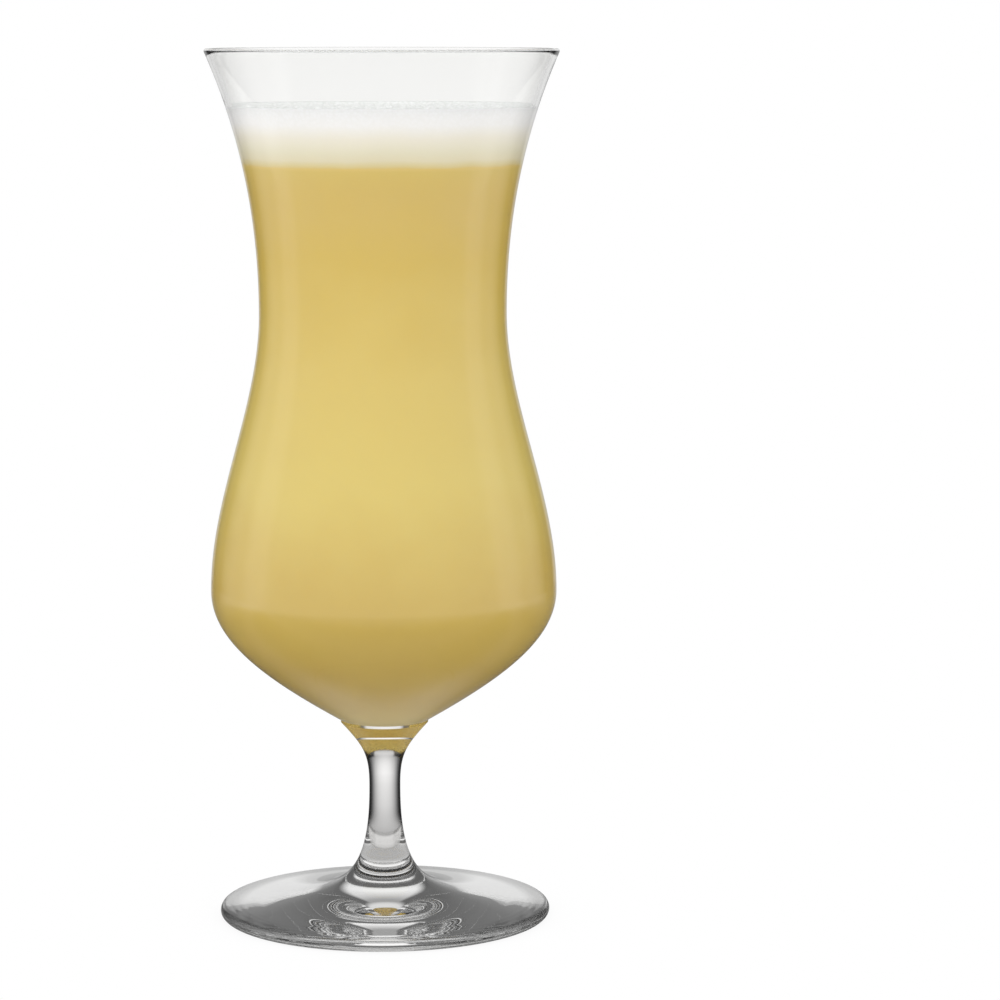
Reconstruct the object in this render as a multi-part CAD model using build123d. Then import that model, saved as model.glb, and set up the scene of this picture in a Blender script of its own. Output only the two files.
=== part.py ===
"""Hurricane glass with its drink: a blown bowl, a pressed stem and a pressed foot fused hot to
one another, a cloudy drink in the bowl and a head of foam on the drink.

Millimetres. +Z is up and is the axis of the glass. The origin is on that axis at table level."""

import math
import os

from build123d import *

# Foot: a round plate with a rounded edge, a boss in the middle and a shallow hollow below.
FOOT_RADIUS = 39.15
FOOT_EDGE = 2.9
FOOT_TOP_SLOPE = 6.0
FOOT_BOSS_HEIGHT = 8.7
FOOT_BOSS_RADIUS = 10.35
FOOT_BOSS_SLOPE = 33.5
FOOT_RING_WIDTH = 8.0
FOOT_HOLLOW_DEPTH = 0.5

# Stem: narrow in the middle, flared into the foot below and into the bowl above. Its top ends in a
# short straight collar, the seam where the bowl is fused on.
STEM_HEIGHT = 38.4
STEM_NECK_RADIUS = 3.67
STEM_NECK_HEIGHT = 22.5
STEM_TOP_RADIUS = 10.35
STEM_TOP_LEAN = 41.8
STEM_COLLAR = 0.6

# Bowl: heights count from its base, where the stem is fused on.
BOWL_HEIGHT = 157.9
BOWL_BASE_SLOPE = 30.5
BELLY_RADIUS = 40.75
BELLY_HEIGHT = 31.05
WAIST_RADIUS = 28.97
WAIST_HEIGHT = 96.55
RIM_RADIUS = 41.25
RIM_LEAN = 23.5
LIP_THICKNESS = 1.2
WALL_THICKNESS = 1.7
FLOOR_THICKNESS = 4.5

# Contents: measured down from the rim.
HEADSPACE = 13.0
FOAM_DEPTH = 13.6

# How far each curve follows its end direction, as a share of the height it covers.
EASE_RIM = 0.394
EASE_WAIST_UP = 0.304
EASE_WAIST_DOWN = 0.327
EASE_BELLY_UP = 0.339
EASE_BELLY_DOWN = 0.352
EASE_BASE = 0.714
EASE_FLOOR_DOWN = 0.34
EASE_FLOOR = 0.28
EASE_STEM_TOP = 0.508
EASE_NECK_UP = 0.496
EASE_NECK_DOWN = 0.36
EASE_BOSS = 0.325
EASE_FOOT_IN = 0.22
EASE_FOOT_OUT = 0.45

# Levels, stacked from the table up.
FOOT_JOINT_Z = FOOT_BOSS_HEIGHT
NECK_Z = FOOT_JOINT_Z + STEM_NECK_HEIGHT
BOWL_BASE_Z = FOOT_JOINT_Z + STEM_HEIGHT
COLLAR_Z = BOWL_BASE_Z - STEM_COLLAR
FLOOR_Z = BOWL_BASE_Z + FLOOR_THICKNESS
BELLY_Z = BOWL_BASE_Z + BELLY_HEIGHT
WAIST_Z = BOWL_BASE_Z + WAIST_HEIGHT
RIM_Z = BOWL_BASE_Z + BOWL_HEIGHT
FOAM_TOP_Z = RIM_Z - HEADSPACE
DRINK_TOP_Z = FOAM_TOP_Z - FOAM_DEPTH


def at(radius, height):
    """A point of the half section, which lies in the XZ plane."""
    return Vector(radius, 0, height)


def way(degrees_from_level):
    """A unit direction in the half section: 0 is outward, 90 is up."""
    a = math.radians(degrees_from_level)
    return Vector(math.cos(a), 0, math.sin(a))


def curve(start, start_reach, end, end_reach):
    """A cubic that leaves start along start_reach and arrives at end from end + end_reach."""
    return Bezier(start, start + start_reach, end + end_reach, end)


def lathe(edges):
    """The solid that a closed half section sweeps about the axis."""
    return revolve(make_face(edges), axis=Axis.Z)


def foot_solid():
    edge_centre = at(FOOT_RADIUS - FOOT_EDGE / 2, FOOT_EDGE / 2)
    edge_bottom = at(FOOT_RADIUS - FOOT_EDGE / 2, 0)
    edge_top = edge_centre + way(90 - FOOT_TOP_SLOPE) * (FOOT_EDGE / 2)
    boss = at(FOOT_BOSS_RADIUS, FOOT_JOINT_Z)
    span = edge_top.X - boss.X
    ring_inner = FOOT_RADIUS - FOOT_EDGE / 2 - FOOT_RING_WIDTH
    hollow_radius = (ring_inner**2 + FOOT_HOLLOW_DEPTH**2) / (2 * FOOT_HOLLOW_DEPTH)
    hollow_centre_z = FOOT_HOLLOW_DEPTH - hollow_radius
    half = ring_inner / 2
    hollow_mid = at(half, hollow_centre_z + math.sqrt(hollow_radius**2 - half**2))
    top = curve(
        boss,
        way(-FOOT_BOSS_SLOPE) * (EASE_FOOT_IN * span),
        edge_top,
        way(180 - FOOT_TOP_SLOPE) * (EASE_FOOT_OUT * span),
    )
    return lathe(
        [
            Line(at(0, FOOT_JOINT_Z), boss),
            top,
            ThreePointArc(edge_top, edge_centre + way(0) * (FOOT_EDGE / 2), edge_bottom),
            Line(edge_bottom, at(ring_inner, 0)),
            ThreePointArc(at(ring_inner, 0), hollow_mid, at(0, FOOT_HOLLOW_DEPTH)),
            Line(at(0, FOOT_HOLLOW_DEPTH), at(0, FOOT_JOINT_Z)),
        ]
    )


def stem_solid():
    boss = at(FOOT_BOSS_RADIUS, FOOT_JOINT_Z)
    neck = at(STEM_NECK_RADIUS, NECK_Z)
    top = at(STEM_TOP_RADIUS, COLLAR_Z)
    seam = at(STEM_TOP_RADIUS, BOWL_BASE_Z)
    below = NECK_Z - FOOT_JOINT_Z
    above = COLLAR_Z - NECK_Z
    return lathe(
        [
            Line(at(0, FOOT_JOINT_Z), boss),
            curve(
                boss,
                way(180 - FOOT_BOSS_SLOPE) * (EASE_BOSS * below),
                neck,
                way(-90) * (EASE_NECK_DOWN * below),
            ),
            curve(
                neck,
                way(90) * (EASE_NECK_UP * above),
                top,
                way(-90 - STEM_TOP_LEAN) * (EASE_STEM_TOP * above),
            ),
            Line(top, seam),
            Line(seam, at(0, BOWL_BASE_Z)),
            Line(at(0, BOWL_BASE_Z), at(0, FOOT_JOINT_Z)),
        ]
    )


def rim_points():
    """Ends of the rounded lip: where the outer wall meets it, its top, where the inner wall meets it."""
    centre = at(RIM_RADIUS - LIP_THICKNESS / 2, RIM_Z - LIP_THICKNESS / 2)
    outward = way(-RIM_LEAN) * (LIP_THICKNESS / 2)
    upward = way(90 - RIM_LEAN) * (LIP_THICKNESS / 2)
    return centre + outward, centre + upward, centre - outward


def wall_curves(rim_point, inset):
    """The wall from the rim down to the belly, set in from the outer wall by inset."""
    waist = at(WAIST_RADIUS - inset, WAIST_Z)
    belly = at(BELLY_RADIUS - inset, BELLY_Z)
    upper = rim_point.Z - WAIST_Z
    lower = WAIST_Z - BELLY_Z
    flare = curve(
        rim_point,
        way(-90 - RIM_LEAN) * (EASE_RIM * upper),
        waist,
        way(90) * (EASE_WAIST_UP * upper),
    )
    swell = curve(
        waist,
        way(-90) * (EASE_WAIST_DOWN * lower),
        belly,
        way(90) * (EASE_BELLY_UP * lower),
    )
    return flare, swell, belly


def inner_curves(rim_point):
    """The inside of the bowl from the lip down to the middle of its floor."""
    flare, swell, belly = wall_curves(rim_point, WALL_THICKNESS)
    floor = at(0, FLOOR_Z)
    bottom = curve(
        belly,
        way(-90) * (EASE_FLOOR_DOWN * (BELLY_Z - FLOOR_Z)),
        floor,
        way(0) * (EASE_FLOOR * belly.X),
    )
    return [flare, swell, bottom]


def bowl_solid():
    lip_out, lip_top, lip_in = rim_points()
    flare, swell, belly = wall_curves(lip_out, 0)
    base = at(STEM_TOP_RADIUS, BOWL_BASE_Z)
    bottom = curve(
        belly,
        way(-90) * (EASE_BELLY_DOWN * BELLY_HEIGHT),
        base,
        way(BOWL_BASE_SLOPE) * (EASE_BASE * BELLY_HEIGHT),
    )
    return lathe(
        [
            ThreePointArc(lip_in, lip_top, lip_out),
            flare,
            swell,
            bottom,
            Line(base, at(0, BOWL_BASE_Z)),
            Line(at(0, BOWL_BASE_Z), at(0, FLOOR_Z)),
            *inner_curves(lip_in),
        ]
    )


def cavity_solid():
    """The room inside the bowl, up to the inner edge of the lip."""
    lip_in = rim_points()[2]
    return lathe(
        [
            *inner_curves(lip_in),
            Line(at(0, FLOOR_Z), at(0, lip_in.Z)),
            Line(at(0, lip_in.Z), lip_in),
        ]
    )


def slab(low, high):
    """A disc wider than the bowl, between two levels."""
    disc = Cylinder(2 * max(RIM_RADIUS, BELLY_RADIUS), high - low)
    return Pos(0, 0, (low + high) / 2) * disc


cavity = cavity_solid()
parts = {
    "foot": foot_solid(),
    "stem": stem_solid(),
    "bowl": bowl_solid(),
    "drink": cavity & slab(BOWL_BASE_Z, DRINK_TOP_Z),
    "foam": cavity & slab(DRINK_TOP_Z, FOAM_TOP_Z),
}

os.makedirs("parts", exist_ok=True)
for name, shape in parts.items():
    export_step(shape, f"parts/{name}.step")
    print(name, round(shape.volume, 1), "mm3")
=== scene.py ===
"""Hurricane glass with its drink: blown bowl, pressed stem and foot, a cloudy yellow drink and its
head of foam, on a white studio table."""

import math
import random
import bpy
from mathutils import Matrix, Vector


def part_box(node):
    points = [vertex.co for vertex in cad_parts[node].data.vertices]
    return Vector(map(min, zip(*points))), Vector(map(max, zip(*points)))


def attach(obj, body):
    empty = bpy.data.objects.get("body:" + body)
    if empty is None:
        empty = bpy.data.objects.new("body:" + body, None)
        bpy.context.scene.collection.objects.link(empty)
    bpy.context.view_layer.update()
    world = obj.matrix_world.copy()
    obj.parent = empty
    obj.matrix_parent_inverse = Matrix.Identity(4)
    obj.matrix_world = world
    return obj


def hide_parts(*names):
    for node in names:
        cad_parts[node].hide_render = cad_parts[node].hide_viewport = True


bl_info = {
    "name": "Hurricane Glass",
    "version": (1, 0, 0),
    "blender": (4, 5, 0),
    "location": "View3D > Sidebar > Barware",
    "description": "Builds a filled hurricane glass and the white table it stands on",
    "category": "Object",
}

import bmesh
import bpy
from mathutils import Vector, noise

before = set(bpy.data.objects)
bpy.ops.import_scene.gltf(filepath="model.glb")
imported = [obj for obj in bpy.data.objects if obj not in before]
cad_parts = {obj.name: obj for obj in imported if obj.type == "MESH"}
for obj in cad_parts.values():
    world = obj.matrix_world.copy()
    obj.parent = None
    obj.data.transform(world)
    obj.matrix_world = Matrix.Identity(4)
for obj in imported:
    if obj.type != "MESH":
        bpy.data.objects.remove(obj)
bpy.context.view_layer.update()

MM = 0.001
FOOT_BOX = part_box("foot")
STEM_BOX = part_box("stem")
BOWL_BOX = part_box("bowl")
DRINK_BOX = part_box("drink")
FOAM_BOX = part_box("foam")

# How far each curve follows its end direction, as a share of the height or the width that it covers.
EASE_RIM = 0.394
EASE_WAIST_UP = 0.304
EASE_WAIST_DOWN = 0.327
EASE_BELLY_UP = 0.339
EASE_BELLY_DOWN = 0.352
EASE_BASE = 0.714
EASE_FLOOR_DOWN = 0.34
EASE_FLOOR = 0.28
EASE_STEM_TOP = 0.508
EASE_NECK_UP = 0.496
EASE_NECK_DOWN = 0.36
EASE_BOSS = 0.325
EASE_FOOT_IN = 0.22
EASE_FOOT_OUT = 0.45

# Faint rings that the mould leaves on the foot's edge and on the top beside it.
RING_RISE = 0.006 * MM
RINGS = 4
RING_STEP = 1.6 * MM
RING_REACH = 6 * MM

# How finely the pieces are cut: round the axis, and along each stretch of a half section.
GLASS_AROUND = 240
CURVE_STEPS = 56
LIP_STEPS = 16
JOINT_STEPS = 4
HOLLOW_STEPS = 40
STANDING_STEPS = 6
FOOT_STEPS = 160
EDGE_STEPS = 96
LEVEL_STEPS = 12
FOAM_STEPS = 140
ON_AXIS = 1e-7
SHARP_ANGLE = math.radians(20)

# A quarter turn: straight up in the half section.
UP = math.pi / 2

# A Map Range with this setting eases in and out.
SMOOTH = {"interpolation_type": "SMOOTHSTEP"}
WHITE = (1.0, 1.0, 1.0, 1.0)
# Light Path counts bounces in whole numbers, and these lie between them.
UNDER_ONE = 0.5
UNDER_TWO = 1.5
UNDER_THREE = 2.5


def linear(hex_colour):
    """An sRGB hex colour as the linear RGBA that shader sockets take."""
    channels = [int(hex_colour[i : i + 2], 16) / 255 for i in (1, 3, 5)]
    return [c / 12.92 if c <= 0.04045 else ((c + 0.055) / 1.055) ** 2.4 for c in channels] + [1.0]


def add_node(tree, kind, settings=None, stops=(), **sockets):
    """Adds a node with its settings and, for a ramp, its stops of (position, colour) in rising order.
    A socket goes by its name, or by its number after an underscore. It takes a plain value, or an output
    to link to it."""
    node = tree.nodes.new(kind)
    for name, value in (settings or {}).items():
        setattr(node, name, value)
    for i, (position, colour) in enumerate(stops):
        elements = node.color_ramp.elements
        element = elements[i] if i < len(elements) else elements.new(position)
        element.position = position
        element.color = colour
    for name, value in sockets.items():
        key = int(name[1:]) if name[0] == "_" else name.replace("_", " ")
        if isinstance(value, bpy.types.NodeSocket):
            tree.links.new(value, node.inputs[key])
        else:
            node.inputs[key].default_value = value
    return node


def new_material(name):
    """An empty node material and its output node."""
    material = bpy.data.materials.new(name)
    material.use_nodes = True
    material.node_tree.nodes.clear()
    return material, add_node(material.node_tree, "ShaderNodeOutputMaterial")


class GlassShape(bpy.types.PropertyGroup):
    """Sizes of the glass that its packed boxes don't give."""

    waist_radius: bpy.props.FloatProperty(
        name="Waist radius", description="Outer radius at the narrowest place",
        default=28.97 * MM, unit="LENGTH"
    )
    waist_height: bpy.props.FloatProperty(
        name="Waist height", description="Height of the waist above the table",
        default=143.65 * MM, unit="LENGTH"
    )
    belly_radius: bpy.props.FloatProperty(
        name="Belly radius", description="Outer radius at the widest place",
        default=40.75 * MM, unit="LENGTH"
    )
    belly_height: bpy.props.FloatProperty(
        name="Belly height", description="Height of the belly above the table",
        default=78.15 * MM, unit="LENGTH"
    )
    wall: bpy.props.FloatProperty(
        name="Wall", description="Thickness of the bowl's wall", default=1.7 * MM, unit="LENGTH"
    )
    lip: bpy.props.FloatProperty(
        name="Lip", description="Thickness of the rounded lip", default=1.2 * MM, unit="LENGTH"
    )
    rim_lean: bpy.props.FloatProperty(
        name="Rim lean", description="Outward lean of the wall at the rim",
        default=math.radians(23.5), unit="ROTATION"
    )
    base_slope: bpy.props.FloatProperty(
        name="Base slope", description="Slope of the bowl where the stem begins",
        default=math.radians(30.5), unit="ROTATION"
    )
    neck_radius: bpy.props.FloatProperty(
        name="Neck radius", description="Radius of the stem at its narrowest",
        default=3.67 * MM, unit="LENGTH"
    )
    neck_height: bpy.props.FloatProperty(
        name="Neck height", description="Height of that place above the table",
        default=31.2 * MM, unit="LENGTH"
    )
    stem_top_lean: bpy.props.FloatProperty(
        name="Stem top lean", description="Outward lean of the stem under the bowl",
        default=math.radians(41.8), unit="ROTATION"
    )
    collar: bpy.props.FloatProperty(
        name="Collar", description="Height of the straight seam where the bowl is fused on",
        default=0.6 * MM, unit="LENGTH"
    )
    boss_slope: bpy.props.FloatProperty(
        name="Boss slope", description="Slope where the stem runs into the foot",
        default=math.radians(33.5), unit="ROTATION"
    )
    foot_edge: bpy.props.FloatProperty(
        name="Foot edge", description="Thickness of the foot's rounded edge", default=2.9 * MM, unit="LENGTH"
    )
    foot_slope: bpy.props.FloatProperty(
        name="Foot slope", description="Slope of the foot's top at its edge",
        default=math.radians(6.0), unit="ROTATION"
    )
    ring_width: bpy.props.FloatProperty(
        name="Ring width", description="Width of the flat ring under the foot",
        default=8.0 * MM, unit="LENGTH"
    )
    hollow_depth: bpy.props.FloatProperty(
        name="Hollow depth", description="Rise of the hollow under the foot", default=0.5 * MM, unit="LENGTH"
    )
    wetting: bpy.props.FloatProperty(
        name="Wetting", description="How far the drink is set into the wall, so that no air shows between",
        default=0.05 * MM, unit="LENGTH"
    )


class DrinkColours(bpy.types.PropertyGroup):
    """Colours of the drink and its foam."""

    # Painted shade: the drink is coloured darker towards its floor, where less light reaches it.
    drink_floor_painted_shade: bpy.props.FloatVectorProperty(
        name="Drink at the floor", description="Where pulp has settled",
        default=linear("#D9C273"), size=4, subtype="COLOR"
    )
    # Painted light: the drink is coloured brightest just above the belly, where most light falls on it.
    drink_belly_painted_light: bpy.props.FloatVectorProperty(
        name="Drink above the belly", description="Where most light gets in",
        default=linear("#EADC8E"), size=4, subtype="COLOR"
    )
    drink_waist: bpy.props.FloatVectorProperty(
        name="Drink above the waist", description="The clearer juice on top of the pulp",
        default=linear("#E2CE72"), size=4, subtype="COLOR"
    )
    drink_top: bpy.props.FloatVectorProperty(
        name="Drink under the foam", description="Paler from the foam above it",
        default=linear("#E1CD7D"), size=4, subtype="COLOR"
    )
    foam_wet: bpy.props.FloatVectorProperty(
        name="Wet foam", description="Where the foam meets the drink",
        default=linear("#E4D18C"), size=4, subtype="COLOR"
    )
    foam_middle: bpy.props.FloatVectorProperty(
        name="Foam", description="Half way up the foam",
        default=linear("#F3F0E7"), size=4, subtype="COLOR"
    )
    foam_dry: bpy.props.FloatVectorProperty(
        name="Dry foam", description="At the top, where only bubbles are left",
        default=linear("#FCFDFF"), size=4, subtype="COLOR"
    )


class StudioSet(bpy.types.PropertyGroup):
    """Camera and light."""

    camera_distance: bpy.props.FloatProperty(
        name="Camera distance", description="From the glass's axis", default=0.8752, unit="LENGTH"
    )
    camera_height: bpy.props.FloatProperty(
        name="Camera height", description="Above the table", default=0.2126, unit="LENGTH"
    )
    camera_side: bpy.props.FloatProperty(
        name="Camera side", description="To the right of the glass's axis", default=0.02739, unit="LENGTH"
    )
    camera_pitch: bpy.props.FloatProperty(
        name="Camera pitch", description="Downward tilt", default=math.radians(7.371), unit="ROTATION"
    )
    camera_lens: bpy.props.FloatProperty(
        name="Camera lens", description="Focal length in millimetres", default=134.89, unit="CAMERA"
    )
    table_radius: bpy.props.FloatProperty(
        name="Table radius", description="Size of the white table top", default=0.6, unit="LENGTH"
    )
    sweep_top: bpy.props.FloatProperty(
        name="Sweep top", description="Elevation up to which the white sweep round the table reaches",
        default=math.radians(14.0), unit="ROTATION"
    )
    roof_low: bpy.props.FloatProperty(
        name="Roof low", description="Elevation at which the overhead light begins",
        default=math.radians(40.0), unit="ROTATION"
    )
    room_light: bpy.props.FloatProperty(
        name="Room light", description="What the dark flags beside the table send back", default=0.13
    )
    fill_light: bpy.props.FloatProperty(
        name="Fill light", description="What reaches the drink from the sides", default=1.05
    )
    roof_light: bpy.props.FloatProperty(
        name="Roof light", description="Strength of the overhead light", default=0.8
    )
    front_light: bpy.props.FloatProperty(
        name="Front light", description="Strength of the broad light from the camera's side", default=1.58
    )
    shadow_share: bpy.props.FloatProperty(
        name="Shadow share", description="Depth of the glass's shadow on the table", default=0.08
    )


def bezier(start, leave, arrive, end, steps=CURVE_STEPS):
    """Points of a cubic in the half section, both ends included."""
    points = []
    for i in range(steps + 1):
        t = i / steps
        u = 1 - t
        points.append(start * u**3 + leave * (3 * u * u * t) + arrive * (3 * u * t * t) + end * t**3)
    return points


def at(radius, height):
    """A point of the half section: distance from the axis, and height."""
    return Vector((radius, height))


def way(angle):
    """A unit direction in the half section: 0 is outward, a quarter turn is up."""
    return Vector((math.cos(angle), math.sin(angle)))


def arc(centre, radius, start, end, steps):
    """Points of a round edge about centre, from angle start to angle end."""
    return [centre + way(start + (end - start) * i / steps) * radius for i in range(steps + 1)]


def line(start, end, steps=JOINT_STEPS):
    """Points of a straight stretch, both ends included."""
    return [start.lerp(end, i / steps) for i in range(steps + 1)]


def rim_points(shape):
    """Centre of the lip's round, and where the outer and the inner wall meet it."""
    half = shape.lip / 2
    centre = at(BOWL_BOX[1].x - half, BOWL_BOX[1].z - half)
    return centre, centre + way(-shape.rim_lean) * half, centre - way(-shape.rim_lean) * half


def wall_outline(shape, rim, inset):
    """The bowl's wall from the point rim down to the belly, set in from the outside by inset."""
    waist = at(shape.waist_radius - inset, shape.waist_height)
    belly = at(shape.belly_radius - inset, shape.belly_height)
    upper = rim.y - waist.y
    lower = waist.y - belly.y
    flare = bezier(
        rim,
        rim + way(-UP - shape.rim_lean) * (EASE_RIM * upper),
        waist + way(UP) * (EASE_WAIST_UP * upper),
        waist,
    )
    swell = bezier(
        waist,
        waist + way(-UP) * (EASE_WAIST_DOWN * lower),
        belly + way(UP) * (EASE_BELLY_UP * lower),
        belly,
    )
    return flare + swell[1:]


def inner_outline(shape, inset):
    """The inside of the bowl from the lip down to the middle of its floor. Its wall is set in from the
    outside by inset."""
    rim = rim_points(shape)[2] + way(-shape.rim_lean) * (shape.wall - inset)
    wall = wall_outline(shape, rim, inset)
    belly = wall[-1]
    floor = at(0, DRINK_BOX[0].z - (shape.wall - inset))
    bottom = bezier(
        belly,
        belly + way(-UP) * (EASE_FLOOR_DOWN * (belly.y - floor.y)),
        floor + way(0) * (EASE_FLOOR * belly.x),
        floor,
    )
    return wall + bottom[1:]


def bowl_outline(shape):
    """Half section of the bowl: its fused base, then outside, lip and inside."""
    lip_centre, lip_out, lip_in = rim_points(shape)
    wall = wall_outline(shape, lip_out, 0)
    base = at(STEM_BOX[1].x, BOWL_BOX[0].z)
    rise = wall[-1].y - base.y
    bottom = bezier(
        wall[-1],
        wall[-1] + way(-UP) * (EASE_BELLY_DOWN * rise),
        base + way(shape.base_slope) * (EASE_BASE * rise),
        base,
    )
    outside = list(reversed(wall + bottom[1:]))
    lip = arc(lip_centre, shape.lip / 2, -shape.rim_lean, math.pi - shape.rim_lean, LIP_STEPS)
    inside = inner_outline(shape, shape.wall)
    joint = line(at(0, base.y), base)
    return [(joint, 1), (outside + lip[1:] + inside[1:], 0)]


def stem_outline(shape):
    """Half section of the stem: lower fused face, outside, upper fused face."""
    boss = at(STEM_BOX[1].x, STEM_BOX[0].z)
    seam = at(STEM_BOX[1].x, STEM_BOX[1].z)
    top = at(seam.x, seam.y - shape.collar)
    neck = at(shape.neck_radius, shape.neck_height)
    below = neck.y - boss.y
    above = top.y - neck.y
    lower = bezier(
        boss,
        boss + way(math.pi - shape.boss_slope) * (EASE_BOSS * below),
        neck + way(-UP) * (EASE_NECK_DOWN * below),
        neck,
    )
    upper = bezier(
        neck,
        neck + way(UP) * (EASE_NECK_UP * above),
        top + way(-UP - shape.stem_top_lean) * (EASE_STEM_TOP * above),
        top,
    )
    return [
        (line(at(0, boss.y), boss), 1),
        (lower + upper[1:] + [seam], 0),
        (line(seam, at(0, seam.y)), 1),
    ]


def foot_outline(shape):
    """Half section of the foot: hollow, standing ring, rounded edge, top, fused face."""
    half = shape.foot_edge / 2
    edge = at(FOOT_BOX[1].x - half, half)
    ring = edge.x - shape.ring_width
    reach = (ring**2 + shape.hollow_depth**2) / (2 * shape.hollow_depth)
    swing = math.asin(ring / reach)
    hollow = arc(at(0, shape.hollow_depth - reach), reach, UP, UP - swing, HOLLOW_STEPS)
    boss = at(STEM_BOX[1].x, STEM_BOX[0].z)
    edge_top = edge + way(UP - shape.foot_slope) * half
    span = edge_top.x - boss.x
    top = bezier(
        edge_top,
        edge_top + way(math.pi - shape.foot_slope) * (EASE_FOOT_OUT * span),
        boss + way(-shape.boss_slope) * (EASE_FOOT_IN * span),
        boss,
        FOOT_STEPS,
    )
    for point in top:
        inward = edge_top.x - point.x
        fade = max(0.0, 1 - inward / RING_REACH)
        point.y += RING_RISE * fade * math.sin(math.tau * inward / RING_STEP)
    standing = line(hollow[-1], at(edge.x, 0), STANDING_STEPS)
    rounded = arc(edge, half, -UP, UP - shape.foot_slope, EDGE_STEPS)
    for i, point in enumerate(rounded):
        along = math.pi * i / EDGE_STEPS
        rise = RING_RISE * math.sin(along) * math.sin(2 * RINGS * along)
        point += (point - edge).normalized() * rise
    return [
        (hollow + standing[1:] + rounded[1:] + top[1:], 0),
        (line(boss, at(0, boss.y)), 1),
    ]


def lathe(name, outline, around=GLASS_AROUND):
    """A piece swept about Z. The outline is stretches of (points, material slot) that follow on."""
    mesh = bpy.data.meshes.new(name)
    work = bmesh.new()
    turn = [way(math.tau * i / around) for i in range(around)]

    def ring(point):
        if point.x < ON_AXIS:
            return [work.verts.new((0, 0, point.y))]
        return [work.verts.new((point.x * t.x, point.x * t.y, point.y)) for t in turn]

    last = ring(outline[0][0][0])
    for points, slot in outline:
        for point in points[1:]:
            here = ring(point)
            for i in range(around):
                j = (i + 1) % around
                before = [last[i % len(last)], last[j % len(last)]]
                after = [here[j % len(here)], here[i % len(here)]]
                face = work.faces.new(list(dict.fromkeys(before + after)))
                face.material_index = slot
                face.smooth = True
            last = here
    bmesh.ops.recalc_face_normals(work, faces=work.faces)
    work.to_mesh(mesh)
    work.free()
    mesh.set_sharp_from_angle(angle=SHARP_ANGLE)
    piece = bpy.data.objects.new(name, mesh)
    bpy.context.scene.collection.objects.link(piece)
    return piece


# Waves in the skin of the glass: their length, and how far they rise.
SKIN_WAVE = 14 * MM
SKIN_RISE = 0.02 * MM
# Levels between which the stem is slim: where its painted dark flanks fade in upward, and where downward.
SLIM_FROM = (19 * MM, 25 * MM)
SLIM_TO = (40.5 * MM, 38.5 * MM)
# Painted shade on the stem's flanks: the glass's base colour darkens to near black from where it faces the
# eye to where it turns away, standing in for the dark room that the thick glass bends in.
FLANK_PAINTED_SHADE = (
    (0.0, "#F9F8F7"), (0.05, "#EDECEB"), (0.10, "#DDDCDB"), (0.185, "#B3B2B1"), (0.30, "#707070"),
    (0.40, "#343434"), (0.52, "#040404")
)


def glass_surface(tree, output, **look):
    """Smooth glass with an index of 1.52. Where another piece mirrors it from outside, the mirror shows
    what is past it."""
    glass = add_node(
        tree, "ShaderNodeBsdfPrincipled", Roughness=0.0, IOR=1.52, Transmission_Weight=1.0, **look
    )
    path = add_node(tree, "ShaderNodeLightPath")
    outside = add_node(
        tree, "ShaderNodeMath", {"operation": "LESS_THAN"},
        _0=path.outputs["Transmission Depth"], _1=UNDER_ONE
    )
    mirrored = add_node(
        tree, "ShaderNodeMath", {"operation": "MULTIPLY"},
        _0=outside.outputs[0], _1=path.outputs["Is Reflection Ray"]
    )
    nothing = add_node(tree, "ShaderNodeBsdfTransparent")
    shown = add_node(
        tree, "ShaderNodeMixShader", _0=mirrored.outputs[0], _1=glass.outputs[0], _2=nothing.outputs[0]
    )
    tree.links.new(shown.outputs[0], output.inputs["Surface"])


def clear_glass(name):
    """Soda-lime glass, fire-polished: colourless and smooth, so only its edges show. Its skin has set in
    faint waves about 14 mm long, which bend the lines seen through it a little."""
    material, output = new_material(name)
    tree = material.node_tree
    place = add_node(tree, "ShaderNodeTexCoord")
    waves = add_node(
        tree, "ShaderNodeTexNoise", Vector=place.outputs["Object"], Scale=1 / SKIN_WAVE, Detail=1.0
    )
    skin = add_node(tree, "ShaderNodeBump", Height=waves.outputs["Fac"], Strength=1.0, Distance=SKIN_RISE)
    glass_surface(tree, output, Base_Color=linear("#F9F9F8"), Normal=skin.outputs["Normal"])
    return material


def solid_glass_painted_flanks():
    """Soda-lime glass, pressed solid: as clear as the rest. Its flanks carry painted shade: the base colour
    darkens where the surface turns away from the eye, for the dark room that the thick glass bends in, and
    its mirrored light is dimmed so they stay dark."""
    material, output = new_material("Soda-lime glass, pressed solid")
    tree = material.node_tree
    facing = add_node(tree, "ShaderNodeLayerWeight", Blend=0.5)
    place = add_node(tree, "ShaderNodeTexCoord")
    spot = add_node(tree, "ShaderNodeSeparateXYZ", Vector=place.outputs["Object"])
    above = add_node(
        tree, "ShaderNodeMapRange", SMOOTH, Value=spot.outputs["Z"],
        From_Min=SLIM_FROM[0], From_Max=SLIM_FROM[1]
    )
    below = add_node(
        tree, "ShaderNodeMapRange", SMOOTH, Value=spot.outputs["Z"],
        From_Min=SLIM_TO[0], From_Max=SLIM_TO[1]
    )
    slim = add_node(
        tree, "ShaderNodeMath", {"operation": "MULTIPLY"}, _0=above.outputs[0], _1=below.outputs[0]
    )
    # Painted shade: the base colour darkens toward the flanks of the slim stem.
    painted_flank_shade = add_node(
        tree, "ShaderNodeMath", {"operation": "MULTIPLY"}, _0=facing.outputs["Facing"], _1=slim.outputs[0]
    )
    stops = [(turned, linear(tint)) for turned, tint in FLANK_PAINTED_SHADE]
    ramp = add_node(tree, "ShaderNodeValToRGB", stops=stops, Fac=painted_flank_shade.outputs[0])
    # Its reflections are dimmed too, so that the painted dark flanks stay dark.
    glass_surface(tree, output, Base_Color=ramp.outputs["Color"], Specular_Tint=linear("#303030"))
    return material


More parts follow.
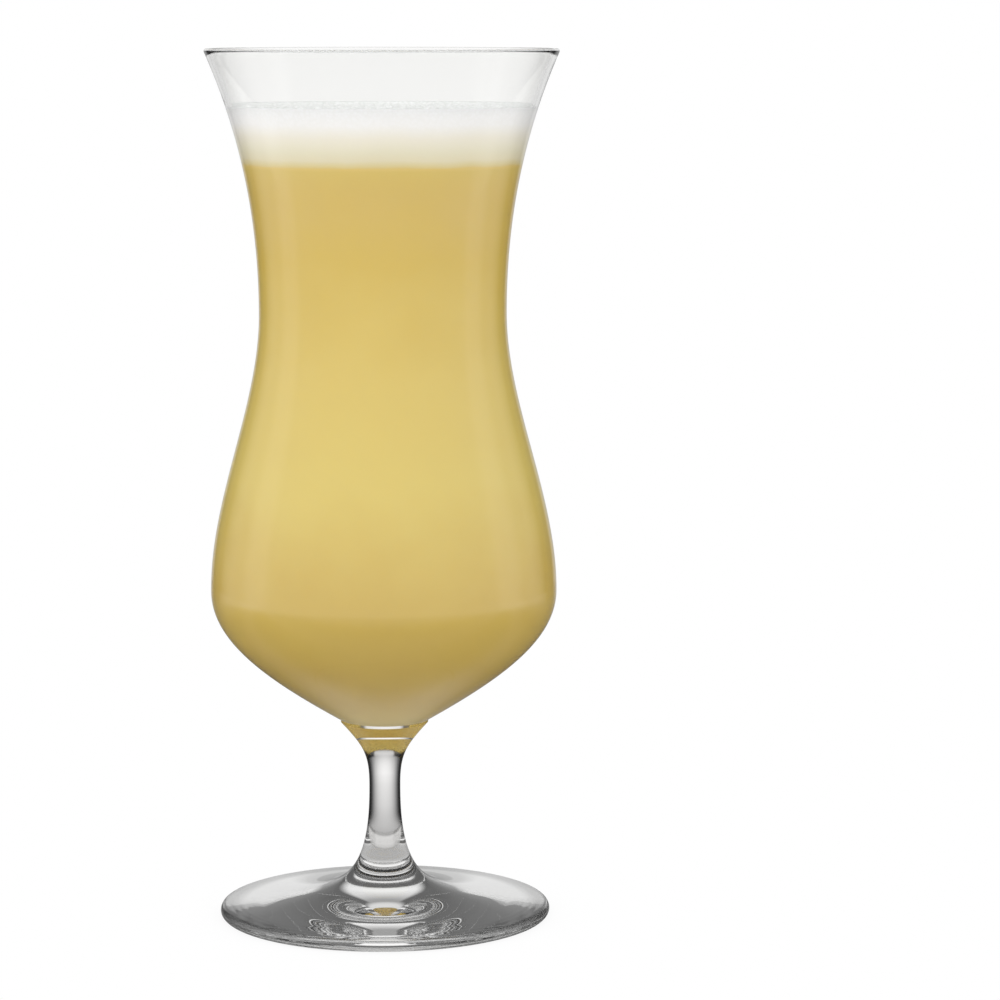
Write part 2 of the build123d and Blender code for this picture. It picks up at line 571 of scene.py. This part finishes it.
def fused_joint():
    """Glass that has run together has no surface there, so the joint face lets everything through."""
    material, output = new_material("Glass fused hot, no surface")
    tree = material.node_tree
    nothing = add_node(tree, "ShaderNodeBsdfTransparent")
    tree.links.new(nothing.outputs[0], output.inputs["Surface"])
    return material


# Clouds of pulp shift the drink's colours up and down by this share of its height.
PULP_CLOUD = 14 * MM
PULP_DRIFT = 0.09
PALE_DEPTH = 0.8 * MM
# Foam drains in patches, which shift its colours likewise.
FOAM_PATCH = 9 * MM
FOAM_DRIFT = 0.035
# Bubbles at the wall, and where the painted shade of each seam begins and ends, in widths from its middle.
# The seams' painted shade shows from the first of two levels of the foam, in full from the second.
WALL_BUBBLE = 0.8 * MM
SEAM = (0.2, 0.75)
SEAM_LEVELS = (0.3, 0.9)
SEAM_PAINTED_SHADE = 0.16
# Painted shade on the foam's top: how far a face leans upward where its greyer colour begins, and where it is
# in full.
TOP_SHADE_LEAN = (0.15, 0.6)


def cloudy_juice(colours):
    """Cloudy fruit juice, shaken: dense pulp right up to the wall, so it looks soft and even. The pulp hangs
    in faint clouds about 14 mm across, and the last 0.8 mm pale into the foam. Its colour carries painted
    shade towards the floor and painted light just above the belly."""
    material, output = new_material("Cloudy juice, shaken")
    tree = material.node_tree
    place = add_node(tree, "ShaderNodeTexCoord")
    spot = add_node(tree, "ShaderNodeSeparateXYZ", Vector=place.outputs["Object"])
    clouds = add_node(
        tree, "ShaderNodeTexNoise", Vector=place.outputs["Object"],
        Scale=1 / PULP_CLOUD, Detail=3.0, Roughness=0.55
    )
    height = add_node(
        tree, "ShaderNodeMapRange", Value=spot.outputs["Z"], From_Min=DRINK_BOX[0].z, From_Max=DRINK_BOX[1].z
    )
    drift = add_node(
        tree, "ShaderNodeMapRange", Value=clouds.outputs["Fac"], To_Min=-PULP_DRIFT, To_Max=PULP_DRIFT
    )
    depth = add_node(tree, "ShaderNodeMath", {"operation": "ADD"}, _0=height.outputs[0], _1=drift.outputs[0])
    # The colours step up from painted shade at the floor to painted light above the belly, then ease back
    # toward the top.
    stops = [
        (0.05, colours.drink_floor_painted_shade), (0.22, linear("#E1CC78")), (0.42, colours.drink_belly_painted_light),
        (0.62, linear("#E8D888")), (0.84, colours.drink_waist), (0.95, colours.drink_top),
    ]
    pulp = add_node(tree, "ShaderNodeValToRGB", stops=stops, Fac=depth.outputs[0])
    pale = add_node(
        tree, "ShaderNodeMapRange", SMOOTH, Value=spot.outputs["Z"],
        From_Min=DRINK_BOX[1].z - PALE_DEPTH, From_Max=DRINK_BOX[1].z
    )
    colour = add_node(
        tree, "ShaderNodeMix", {"data_type": "RGBA"}, _0=pale.outputs[0],
        _6=pulp.outputs["Color"], _7=linear("#E6D288")
    )
    juice = add_node(
        tree, "ShaderNodeBsdfPrincipled", Base_Color=colour.outputs[2],
        Roughness=0.5, IOR=1.35, Specular_IOR_Level=0.0
    )
    tree.links.new(juice.outputs[0], output.inputs["Surface"])
    return material


def juice_foam(colours):
    """Juice foam, drained: white where only bubbles are left, cream where it is still wet. The bubbles at the
    wall are about 0.8 mm across, each with a bright middle and painted shade in its seam. Faces that lean
    upward carry painted shade: a little greyer, and darker still between bubbles."""
    material, output = new_material("Juice foam, drained")
    tree = material.node_tree
    place = add_node(tree, "ShaderNodeTexCoord")
    height = add_node(tree, "ShaderNodeSeparateXYZ", Vector=place.outputs["Object"])
    drained = add_node(
        tree, "ShaderNodeMapRange", Value=height.outputs["Z"], From_Min=FOAM_BOX[0].z, From_Max=FOAM_BOX[1].z
    )
    uneven = add_node(
        tree, "ShaderNodeTexNoise", Vector=place.outputs["Object"], Scale=1 / FOAM_PATCH, Detail=2.0
    )
    wander = add_node(
        tree, "ShaderNodeMapRange", Value=uneven.outputs["Fac"], To_Min=-FOAM_DRIFT, To_Max=FOAM_DRIFT
    )
    level = add_node(
        tree, "ShaderNodeMath", {"operation": "ADD"}, _0=drained.outputs[0], _1=wander.outputs[0]
    )
    stops = [
        (0.0, colours.foam_wet), (0.05, linear("#E5DCB3")), (0.13, linear("#EBE7D4")),
        (0.25, linear("#ECEADA")), (0.5, colours.foam_middle), (0.72, linear("#FAFAFC")),
        (1.0, colours.foam_dry),
    ]
    ramp = add_node(tree, "ShaderNodeValToRGB", stops=stops, Fac=level.outputs[0])
    bubbles = add_node(
        tree, "ShaderNodeTexVoronoi", Vector=place.outputs["Object"], Scale=1 / WALL_BUBBLE
    )
    seams = add_node(
        tree, "ShaderNodeMapRange", Value=bubbles.outputs["Distance"], From_Min=SEAM[0], From_Max=SEAM[1]
    )
    # Painted shade in the seams between bubbles, growing with the level of the foam.
    dry = add_node(
        tree, "ShaderNodeMapRange", Value=level.outputs[0],
        From_Min=SEAM_LEVELS[0], From_Max=SEAM_LEVELS[1], To_Max=SEAM_PAINTED_SHADE
    )
    seam_painted_shade = add_node(tree, "ShaderNodeMath", {"operation": "MULTIPLY"}, _0=seams.outputs[0], _1=dry.outputs[0])
    colour = add_node(
        tree, "ShaderNodeMix", {"data_type": "RGBA"}, _0=seam_painted_shade.outputs[0],
        _6=ramp.outputs["Color"], _7=linear("#E6E5E0")
    )
    # Painted shade on the top: faces that lean upward are greyer, and darker between bubbles.
    faces = add_node(tree, "ShaderNodeNewGeometry")
    lean = add_node(tree, "ShaderNodeSeparateXYZ", Vector=faces.outputs["Normal"])
    upper = add_node(
        tree, "ShaderNodeMapRange", Value=lean.outputs["Z"], From_Min=TOP_SHADE_LEAN[0], From_Max=TOP_SHADE_LEAN[1]
    )
    top_painted_shade = add_node(
        tree, "ShaderNodeMix", {"data_type": "RGBA"}, _0=upper.outputs[0],
        _6=colour.outputs[2], _7=linear("#ECEDED")
    )
    pore_painted_shade = add_node(
        tree, "ShaderNodeMath", {"operation": "MULTIPLY"}, _0=upper.outputs[0], _1=seams.outputs[0]
    )
    skin = add_node(
        tree, "ShaderNodeMix", {"data_type": "RGBA"}, _0=pore_painted_shade.outputs[0],
        _6=top_painted_shade.outputs[2], _7=linear("#DDDFDD")
    )
    foam = add_node(
        tree, "ShaderNodeBsdfPrincipled", Base_Color=skin.outputs[2], Roughness=0.6, Specular_IOR_Level=0.0
    )
    tree.links.new(foam.outputs[0], output.inputs["Surface"])
    return material


def dress(piece, node, slot, *materials):
    """Gives a piece its materials and puts it in the place of its CAD node."""
    for material in materials:
        piece.data.materials.append(material)
    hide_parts(node)
    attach(piece, "root")


class HURRICANE_OT_bowl(bpy.types.Operator):
    """Blow the bowl"""

    bl_idname = "hurricane.bowl"
    bl_label = "Bowl"

    def execute(self, context):
        piece = lathe("glass_bowl", bowl_outline(context.scene.glass_shape))
        dress(piece, "bowl", "clear_glass", clear_glass("Soda-lime glass, blown"), fused_joint())
        return {"FINISHED"}


class HURRICANE_OT_stem(bpy.types.Operator):
    """Press the stem"""

    bl_idname = "hurricane.stem"
    bl_label = "Stem"

    def execute(self, context):
        piece = lathe("glass_stem", stem_outline(context.scene.glass_shape))
        dress(piece, "stem", "clear_glass", solid_glass_painted_flanks(), fused_joint())
        return {"FINISHED"}


class HURRICANE_OT_foot(bpy.types.Operator):
    """Press the foot"""

    bl_idname = "hurricane.foot"
    bl_label = "Foot"

    def execute(self, context):
        piece = lathe("glass_foot", foot_outline(context.scene.glass_shape))
        dress(piece, "foot", "clear_glass", clear_glass("Soda-lime glass, pressed"), fused_joint())
        return {"FINISHED"}


def level_cut(points, low, high):
    """The stretch of a falling outline between two heights, its ends cut exactly at them."""
    kept = []
    for a, b in zip(points, points[1:]):
        for level in (high, low):
            if (a.y - level) * (b.y - level) < 0:
                kept.append(a.lerp(b, (level - a.y) / (b.y - a.y)))
        if low <= b.y <= high:
            kept.append(b)
    return kept


class HURRICANE_OT_drink(bpy.types.Operator):
    """Pour the drink"""

    bl_idname = "hurricane.drink"
    bl_label = "Drink"

    def execute(self, context):
        shape = context.scene.glass_shape
        side = level_cut(inner_outline(shape, shape.wall - shape.wetting), 0, DRINK_BOX[1].z)
        outline = [(line(at(0, DRINK_BOX[1].z), side[0], LEVEL_STEPS) + side[1:], 0)]
        piece = lathe("cloudy_drink", outline)
        dress(piece, "drink", "drink", cloudy_juice(context.scene.drink_colours))
        return {"FINISHED"}


# Bubbles on the foam: radius in millimetres and number of tries for each, the large ones placed first.
BUBBLES = ((2.1, 16), (1.5, 60), (1.05, 260), (0.7, 900))
BUBBLE_SEED = 11
# A cell is wider than the largest bubble, so bubbles that touch lie in cells side by side.
BUBBLE_CELL = 4.4 * MM
# How close two bubbles come, as a share of their radii, how deep each sits in the foam, and how far from the
# wall its middle stays.
BUBBLE_CLOSE = 0.86
BUBBLE_SUNK = 0.55
BUBBLE_MARGIN = 1.2 * MM
# How far the foam's top lies below its edge, how wide the climb to the wall is, and the slow swell of the
# rest.
FOAM_WELL = 0.95 * MM
MENISCUS = 2.5 * MM
FOAM_SWELL = 0.12 * MM
SWELL_LENGTH = 8 * MM
SAME_PLACE = 1e-6


def bubble_bed(radius):
    """Bubbles packed side by side on a disc, as lists of (spot, radius) by square cell."""
    draw = random.Random(BUBBLE_SEED)
    bed = {}
    for size, count in BUBBLES:
        for _ in range(count):
            reach = radius * math.sqrt(draw.random())
            spot = way(math.tau * draw.random()) * reach
            near = neighbours(bed, spot)
            if all((spot - other).length > BUBBLE_CLOSE * (size * MM + wide) for other, wide in near):
                bed.setdefault(cell_of(spot), []).append((spot, size * MM))
    return bed


def cell_of(spot):
    """The square cell that a spot lies in."""
    return math.floor(spot.x / BUBBLE_CELL), math.floor(spot.y / BUBBLE_CELL)


def neighbours(bed, spot):
    """The bubbles in a spot's cell and in the eight around it."""
    column, row = cell_of(spot)
    return [b for i in (-1, 0, 1) for j in (-1, 0, 1) for b in bed.get((column + i, row + j), ())]


def froth(piece, top, radius):
    """Sinks the flat top of the foam below its edge and raises a dome for each bubble."""
    bed = bubble_bed(radius - BUBBLE_MARGIN)
    for vertex in piece.data.vertices:
        spot = Vector(vertex.co.xy)
        if vertex.co.z < top - SAME_PLACE or spot.length > radius - SAME_PLACE:
            continue
        climb = max(0.0, 1 - (radius - spot.length) / MENISCUS)
        dome = 0.0
        for middle, size in neighbours(bed, spot):
            away = (spot - middle).length
            if away < size:
                dome = max(dome, math.sqrt(size * size - away * away) - BUBBLE_SUNK * size)
        swell = FOAM_SWELL * noise.noise(Vector((spot.x, spot.y, 0)) / SWELL_LENGTH)
        level = top - FOAM_WELL * (1 - climb * climb) + dome * (1 - climb) + swell * (1 - climb)
        vertex.co.z = min(top, level)


class HURRICANE_OT_foam(bpy.types.Operator):
    """Float the foam"""

    bl_idname = "hurricane.foam"
    bl_label = "Foam"

    def execute(self, context):
        shape = context.scene.glass_shape
        inside = inner_outline(shape, shape.wall - shape.wetting)
        side = level_cut(inside, FOAM_BOX[0].z, FOAM_BOX[1].z)
        top = at(0, FOAM_BOX[1].z)
        bottom = at(0, FOAM_BOX[0].z)
        upper = line(top, side[0], FOAM_STEPS)
        lower = line(side[-1], bottom, LEVEL_STEPS)
        piece = lathe("foam_head", [(upper + side[1:] + lower[1:], 0)], 2 * GLASS_AROUND)
        froth(piece, top.y, side[0].x)
        dress(piece, "foam", "foam", juice_foam(context.scene.drink_colours))
        return {"FINISHED"}


# Painted shadow on the table: its brightness by millimetres from the glass's axis, darker where the foot
# keeps the light off it, for light that was mirrored inside the glass, for light straight through the glass,
# and for light on the drink.
SHADE_REACH = 300 * MM
TABLE_SHADE = (
    (0, 0.35), (8, 0.3), (13, 0.12), (34, 0.12), (37, 0.02), (41, 0.04), (46, 0.6), (70, 0.75), (130, 0.9),
    (300, 1.0)
)
TABLE_CLEAR = (
    (0, 0.45), (12, 0.45), (22, 0.7), (33, 0.75), (36, 0.35), (41, 0.35), (47, 0.5), (56, 0.56), (100, 0.74),
    (180, 0.9), (300, 1.0)
)
TABLE_GLOW = ((0, 0.35), (45, 0.45), (80, 0.75), (130, 0.95), (200, 1.0))
# Painted reflection: what the glass mirrors of the table, by millimetres from in front of the glass to behind
# it.
MIRROR_PEAK = 1.9
MIRROR_REACH = 600 * MM
MIRROR_TABLE = (
    (-600, 1.4), (-350, 0.5), (-230, 0.5), (-170, 0.25), (-130, 0.15), (-86, 0.25), (-20, 0.25), (-5, 0.35),
    (15, 0.75), (30, 0.65), (60, 0.3), (200, 0.3), (600, 0.5)
)
# Painted shade beside the glass, as if dark flags stood there, dims that: how far out and how far forward it
# fades, and what it leaves.
PAINTED_SHADE_SIDE = (15 * MM, 60 * MM)
PAINTED_SHADE_FRONT = (-80 * MM, -40 * MM)
PAINTED_SHADE_SHARE = 0.3
# Painted shadow under the foot's edge: the table there is next to black, as in the shadow of the foot.
CONTACT_EDGE = (41 * MM, 39.5 * MM)
CONTACT_SHADE = 0.03
SHADOW_REACH = 50 * MM
# Between these distances the mirrored table turns into the mirrored room.
EDGE_BLEND = (120 * MM, 580 * MM)
# What it mirrors of the room, by degrees from straight behind the glass to straight in front of it, half a
# turn away.
HALF_TURN = 180
MIRROR_ROUND = ((0, 0.1), (42, 0.1), (60, 0.8), (72, 1.0), (82, 1.6), (94, 1.8), (101, 1.45), (180, 1.4))
MIRROR_EDGE = ((0, 0.56), (16, 0.56), (30, 0.1), *MIRROR_ROUND[1:])
# How the backdrop fades upward, by degrees of elevation, seen through the glass and mirrored in it, and how
# it fades sideways.
BACKDROP_RISE = ((0, 1.0), (13, 1.0), (30, 0.65), (40, 0.4), (60, 0.3))
MIRROR_RISE = ((0, 0.5), (1.5, 0.55), (4, 0.9), (12, 0.85), (20, 0.4), (30, 0.2))
BACKDROP_SIDE = (math.radians(18), math.radians(28))
# Strip lights in front of the glass, by degrees of elevation, and how far forward a direction points where
# they begin.
STRIP_RISE = (
    (0, 0.1), (7, 0.1), (10, 0.95), (17, 0.95), (20, 0.1), (32, 0.1), (36, 0.9), (44, 0.9), (48, 0.1)
)
STRIP_SIDE = (-0.1, -0.25)
# Where other bright parts of the room end upward, and how softly: the sweep, what the bowl's thin walls show
# of it, and the table's far rim. ROOF_SOFT is how softly the overhead light begins.
SWEEP_SOFT = math.radians(8)
WALL_TOP = math.radians(50)
WALL_SOFT = math.radians(10)
TABLE_RIM = math.radians(-1.5)
TABLE_SOFT = math.radians(1)
ROOF_SOFT = math.radians(12)
# Light that falls on the drink: how far the front light stands to the left, how far forward a direction
# points where it begins, and how far upward where the dimmer dome does.
FRONT_SKEW = 0.35
FRONT_SIDE = (-0.02, -0.3)
DOME_RISE = (0.15, 0.55)
DOME_SHARE = 0.66


def greys(stops, low, high, peak=1.0):
    """Stops of (place, brightness) as ramp stops between two places."""
    return [((place - low) / (high - low), [value / peak] * 3 + [1.0]) for place, value in stops]


def studio_world(studio):
    """A white studio: a backdrop behind the table, dark flags beside it, and light from overhead and from
    in front."""
    world = bpy.data.worlds.new("White studio")
    world.use_nodes = True
    tree = world.node_tree
    tree.nodes.clear()
    output = add_node(tree, "ShaderNodeOutputWorld")
    place = add_node(tree, "ShaderNodeTexCoord")
    look = add_node(tree, "ShaderNodeSeparateXYZ", Vector=place.outputs["Generated"])
    path = add_node(tree, "ShaderNodeLightPath")
    side = add_node(tree, "ShaderNodeMath", {"operation": "ABSOLUTE"}, _0=look.outputs["X"])
    turn = add_node(
        tree, "ShaderNodeMath", {"operation": "ARCTAN2"}, _0=side.outputs[0], _1=look.outputs["Y"]
    )
    around = add_node(tree, "ShaderNodeMath", {"operation": "DIVIDE"}, _0=turn.outputs[0], _1=math.pi)
    behind = add_node(
        tree, "ShaderNodeMapRange", SMOOTH, Value=turn.outputs[0],
        From_Min=BACKDROP_SIDE[0], From_Max=BACKDROP_SIDE[1], To_Min=1.0, To_Max=0.0
    )
    before = add_node(
        tree, "ShaderNodeMapRange", SMOOTH, Value=look.outputs["Y"],
        From_Min=STRIP_SIDE[0], From_Max=STRIP_SIDE[1]
    )
    panels = []
    for fade, where in ((BACKDROP_RISE, behind), (STRIP_RISE, before), (MIRROR_RISE, behind)):
        stops = greys([(math.sin(math.radians(degrees)), share) for degrees, share in fade], 0, 1)
        rise = add_node(tree, "ShaderNodeValToRGB", stops=stops, Fac=look.outputs["Z"])
        panels.append(add_node(
            tree, "ShaderNodeMath", {"operation": "MULTIPLY"}, _0=where.outputs[0], _1=rise.outputs["Color"]
        ))
    backdrop, strips, mirrored_backdrop = panels
    mirror = add_node(
        tree, "ShaderNodeValToRGB", stops=greys(MIRROR_ROUND, 0, HALF_TURN, MIRROR_PEAK),
        Fac=around.outputs[0]
    )
    softboxes = add_node(
        tree, "ShaderNodeMath", {"operation": "MULTIPLY"}, _0=mirror.outputs["Color"], _1=MIRROR_PEAK
    )
    mirrored = add_node(
        tree, "ShaderNodeMath", {"operation": "MAXIMUM"},
        _0=softboxes.outputs[0], _1=mirrored_backdrop.outputs[0]
    )
    direct = add_node(
        tree, "ShaderNodeMath", {"operation": "LESS_THAN"}, _0=path.outputs["Glossy Depth"], _1=UNDER_ONE
    )
    thin = add_node(
        tree, "ShaderNodeMath", {"operation": "GREATER_THAN"},
        _0=path.outputs["Transmission Depth"], _1=UNDER_THREE
    )
    onto = add_node(
        tree, "ShaderNodeMath", {"operation": "GREATER_THAN"}, _0=path.outputs["Diffuse Depth"], _1=UNDER_ONE
    )
    room = add_node(
        tree, "ShaderNodeMapRange", SMOOTH, Value=look.outputs["Z"],
        From_Min=math.sin(studio.roof_low), From_Max=math.sin(studio.roof_low + ROOF_SOFT),
        To_Min=studio.room_light, To_Max=studio.roof_light
    )
    sweeps = []
    for top, soft, level in (
        (studio.sweep_top, SWEEP_SOFT, direct.outputs[0]),
        (WALL_TOP, WALL_SOFT, thin.outputs[0]),
        (TABLE_RIM, TABLE_SOFT, 1.0),
    ):
        sweeps.append(add_node(
            tree, "ShaderNodeMapRange", SMOOTH, Value=look.outputs["Z"],
            From_Min=math.sin(top), From_Max=math.sin(top + soft), To_Min=level, To_Max=0.0
        ))
    for bright in (backdrop, strips, *sweeps):
        room = add_node(
            tree, "ShaderNodeMath", {"operation": "MAXIMUM"}, _0=room.outputs[0], _1=bright.outputs[0]
        )
    askew = add_node(
        tree, "ShaderNodeMath", {"operation": "MULTIPLY_ADD"},
        _0=look.outputs["X"], _1=FRONT_SKEW, _2=look.outputs["Y"]
    )
    front = add_node(
        tree, "ShaderNodeMapRange", SMOOTH, Value=askew.outputs[0],
        From_Min=FRONT_SIDE[0], From_Max=FRONT_SIDE[1],
        To_Min=studio.fill_light, To_Max=studio.front_light
    )
    dome = add_node(
        tree, "ShaderNodeMapRange", SMOOTH, Value=look.outputs["Z"],
        From_Min=DOME_RISE[0], From_Max=DOME_RISE[1], To_Min=1.0, To_Max=DOME_SHARE
    )
    even = add_node(
        tree, "ShaderNodeMath", {"operation": "MULTIPLY"}, _0=front.outputs[0], _1=dome.outputs[0]
    )
    light = add_node(tree, "ShaderNodeMix", Factor=onto.outputs[0], A=room.outputs[0], B=even.outputs[0])
    seen = add_node(
        tree, "ShaderNodeMix", Factor=path.outputs["Is Reflection Ray"],
        A=light.outputs[0], B=mirrored.outputs[0]
    )
    strength = add_node(
        tree, "ShaderNodeMix", Factor=path.outputs["Is Camera Ray"], A=seen.outputs[0], B=1.0
    )
    background = add_node(tree, "ShaderNodeBackground", Color=WHITE, Strength=strength.outputs[0])
    tree.links.new(background.outputs[0], output.inputs["Surface"])
    return world


def table_paint(studio):
    """White laminate, matt: glowing evenly white to the camera, with the soft shadow that the glass leaves on
    it. What the glass sees of it is painted shadow round the foot and painted reflection.
    """
    material, output = new_material("White laminate, matt")
    tree = material.node_tree
    place = add_node(tree, "ShaderNodeTexCoord")
    spot = add_node(tree, "ShaderNodeSeparateXYZ", Vector=place.outputs["Object"])
    away = add_node(tree, "ShaderNodeVectorMath", {"operation": "LENGTH"}, _0=place.outputs["Object"])
    reach = add_node(tree, "ShaderNodeMapRange", Value=away.outputs["Value"], From_Max=SHADE_REACH)
    # Painted shadow round the foot, one ramp for each kind of light.
    shaded, window, glow = [
        add_node(tree, "ShaderNodeValToRGB", stops=greys(table, 0, SHADE_REACH / MM), Fac=reach.outputs[0])
        for table in (TABLE_SHADE, TABLE_CLEAR, TABLE_GLOW)
    ]
    through = add_node(
        tree, "ShaderNodeMapRange", Value=spot.outputs["Y"], From_Min=-MIRROR_REACH, From_Max=MIRROR_REACH
    )
    stops = greys(MIRROR_TABLE, -MIRROR_REACH / MM, MIRROR_REACH / MM, MIRROR_PEAK)
    mirror = add_node(tree, "ShaderNodeValToRGB", stops=stops, Fac=through.outputs[0])
    side = add_node(tree, "ShaderNodeMath", {"operation": "ABSOLUTE"}, _0=spot.outputs["X"])
    turn = add_node(
        tree, "ShaderNodeMath", {"operation": "ARCTAN2"}, _0=side.outputs[0], _1=spot.outputs["Y"]
    )
    around = add_node(tree, "ShaderNodeMath", {"operation": "DIVIDE"}, _0=turn.outputs[0], _1=math.pi)
    far = add_node(
        tree, "ShaderNodeValToRGB", stops=greys(MIRROR_EDGE, 0, HALF_TURN, MIRROR_PEAK),
        Fac=around.outputs[0]
    )
    outer = add_node(
        tree, "ShaderNodeMapRange", SMOOTH, Value=away.outputs["Value"],
        From_Min=EDGE_BLEND[0], From_Max=EDGE_BLEND[1]
    )
    blend = add_node(
        tree, "ShaderNodeMix", Factor=outer.outputs[0], A=mirror.outputs["Color"], B=far.outputs["Color"]
    )
    beside = add_node(
        tree, "ShaderNodeMapRange", SMOOTH, Value=side.outputs[0],
        From_Min=PAINTED_SHADE_SIDE[0], From_Max=PAINTED_SHADE_SIDE[1], To_Min=1.0, To_Max=PAINTED_SHADE_SHARE
    )
    level_with = add_node(
        tree, "ShaderNodeMapRange", SMOOTH, Value=spot.outputs["Y"],
        From_Min=PAINTED_SHADE_FRONT[0], From_Max=PAINTED_SHADE_FRONT[1]
    )
    nearby = add_node(tree, "ShaderNodeMix", Factor=outer.outputs[0], A=level_with.outputs[0], B=0.0)
    share = add_node(tree, "ShaderNodeMix", Factor=nearby.outputs[0], A=1.0, B=beside.outputs[0])
    dimmed = add_node(
        tree, "ShaderNodeMath", {"operation": "MULTIPLY"}, _0=share.outputs[0], _1=MIRROR_PEAK
    )
    mirrored = add_node(
        tree, "ShaderNodeMath", {"operation": "MULTIPLY"}, _0=blend.outputs[0], _1=dimmed.outputs[0]
    )
    path = add_node(tree, "ShaderNodeLightPath")
    under = add_node(
        tree, "ShaderNodeMapRange", SMOOTH, Value=away.outputs["Value"],
        From_Min=CONTACT_EDGE[0], From_Max=CONTACT_EDGE[1]
    )
    open_way = add_node(
        tree, "ShaderNodeMath", {"operation": "LESS_THAN"},
        _0=path.outputs["Transparent Depth"], _1=UNDER_ONE
    )
    touching = add_node(
        tree, "ShaderNodeMath", {"operation": "MULTIPLY"}, _0=under.outputs[0], _1=open_way.outputs[0]
    )
    contact = add_node(
        tree, "ShaderNodeMix", Factor=touching.outputs[0], A=mirrored.outputs[0], B=CONTACT_SHADE
    )
    direct = add_node(
        tree, "ShaderNodeMath", {"operation": "LESS_THAN"}, _0=path.outputs["Glossy Depth"], _1=UNDER_TWO
    )
    clear = add_node(
        tree, "ShaderNodeMix", Factor=direct.outputs[0], A=shaded.outputs["Color"], B=window.outputs["Color"]
    )
    onto = add_node(
        tree, "ShaderNodeMath", {"operation": "GREATER_THAN"}, _0=path.outputs["Diffuse Depth"], _1=UNDER_ONE
    )
    shown = add_node(
        tree, "ShaderNodeMix", Factor=onto.outputs[0], A=clear.outputs[0], B=glow.outputs["Color"]
    )
    lit = add_node(
        tree, "ShaderNodeMix", Factor=path.outputs["Is Reflection Ray"],
        A=shown.outputs[0], B=contact.outputs[0]
    )
    shelter = add_node(tree, "ShaderNodeAmbientOcclusion", {"samples": 8}, Distance=SHADOW_REACH)
    shadow = add_node(
        tree, "ShaderNodeMapRange", Value=shelter.outputs["AO"], To_Min=1.0 - studio.shadow_share, To_Max=1.0
    )
    level = add_node(
        tree, "ShaderNodeMix", Factor=path.outputs["Is Camera Ray"], A=lit.outputs[0], B=shadow.outputs[0]
    )
    white = add_node(tree, "ShaderNodeEmission", Color=WHITE, Strength=level.outputs[0])
    tree.links.new(white.outputs[0], output.inputs["Surface"])
    return material


# The table top lies a little under the foot, so that the two faces don't coincide.
TABLE_SIDES = 128
TABLE_DROP = 0.05 * MM


def table_top(studio):
    """A round pale table top just under the glass."""
    mesh = bpy.data.meshes.new("table_top")
    work = bmesh.new()
    edge = [way(math.tau * i / TABLE_SIDES) * studio.table_radius for i in range(TABLE_SIDES)]
    work.faces.new([work.verts.new((*spot, 0)) for spot in edge])
    work.to_mesh(mesh)
    work.free()
    mesh.materials.append(table_paint(studio))
    table = bpy.data.objects.new("table_top", mesh)
    table.location.z = -TABLE_DROP
    bpy.context.scene.collection.objects.link(table)


class HURRICANE_OT_stage(bpy.types.Operator):
    """Set the table, the light and the camera"""

    bl_idname = "hurricane.stage"
    bl_label = "Studio"

    def execute(self, context):
        scene = context.scene
        studio = scene.studio_set
        lens = bpy.data.cameras.new("studio_camera")
        lens.lens = studio.camera_lens
        lens.sensor_width = 36.0
        camera = bpy.data.objects.new("studio_camera", lens)
        camera.location = (studio.camera_side, -studio.camera_distance, studio.camera_height)
        camera.rotation_euler = (UP - studio.camera_pitch, 0, 0)
        scene.collection.objects.link(camera)
        scene.camera = camera
        scene.world = studio_world(studio)
        table_top(studio)
        scene.view_settings.view_transform = "Standard"
        scene.cycles.max_bounces = 32
        scene.cycles.transmission_bounces = 32
        scene.cycles.glossy_bounces = 16
        scene.cycles.transparent_max_bounces = 32
        scene.cycles.diffuse_bounces = 16
        scene.cycles.blur_glossy = 0.0
        return {"FINISHED"}


class HURRICANE_PT_panel(bpy.types.Panel):
    """Lists the pieces of the glass"""

    bl_idname = "HURRICANE_PT_panel"
    bl_label = "Hurricane Glass"
    bl_space_type = "VIEW_3D"
    bl_region_type = "UI"
    bl_category = "Barware"

    def draw(self, context):
        for step in STEPS:
            self.layout.operator(step.bl_idname)
        for group in (context.scene.glass_shape, context.scene.drink_colours, context.scene.studio_set):
            box = self.layout.box()
            for name in group.bl_rna.properties.keys():
                if name not in ("rna_type", "name"):
                    box.prop(group, name)


STEPS = (
    HURRICANE_OT_bowl,
    HURRICANE_OT_stem,
    HURRICANE_OT_foot,
    HURRICANE_OT_drink,
    HURRICANE_OT_foam,
    HURRICANE_OT_stage,
)
CLASSES = (GlassShape, DrinkColours, StudioSet, *STEPS, HURRICANE_PT_panel)


def register():
    for cls in CLASSES:
        bpy.utils.register_class(cls)
    bpy.types.Scene.glass_shape = bpy.props.PointerProperty(type=GlassShape)
    bpy.types.Scene.drink_colours = bpy.props.PointerProperty(type=DrinkColours)
    bpy.types.Scene.studio_set = bpy.props.PointerProperty(type=StudioSet)


def unregister():
    del bpy.types.Scene.studio_set
    del bpy.types.Scene.drink_colours
    del bpy.types.Scene.glass_shape
    for cls in reversed(CLASSES):
        bpy.utils.unregister_class(cls)


def main():
    register()
    for step in STEPS:
        group, name = step.bl_idname.split(".")
        getattr(getattr(bpy.ops, group), name)()


if __name__ == "__main__":
    main()
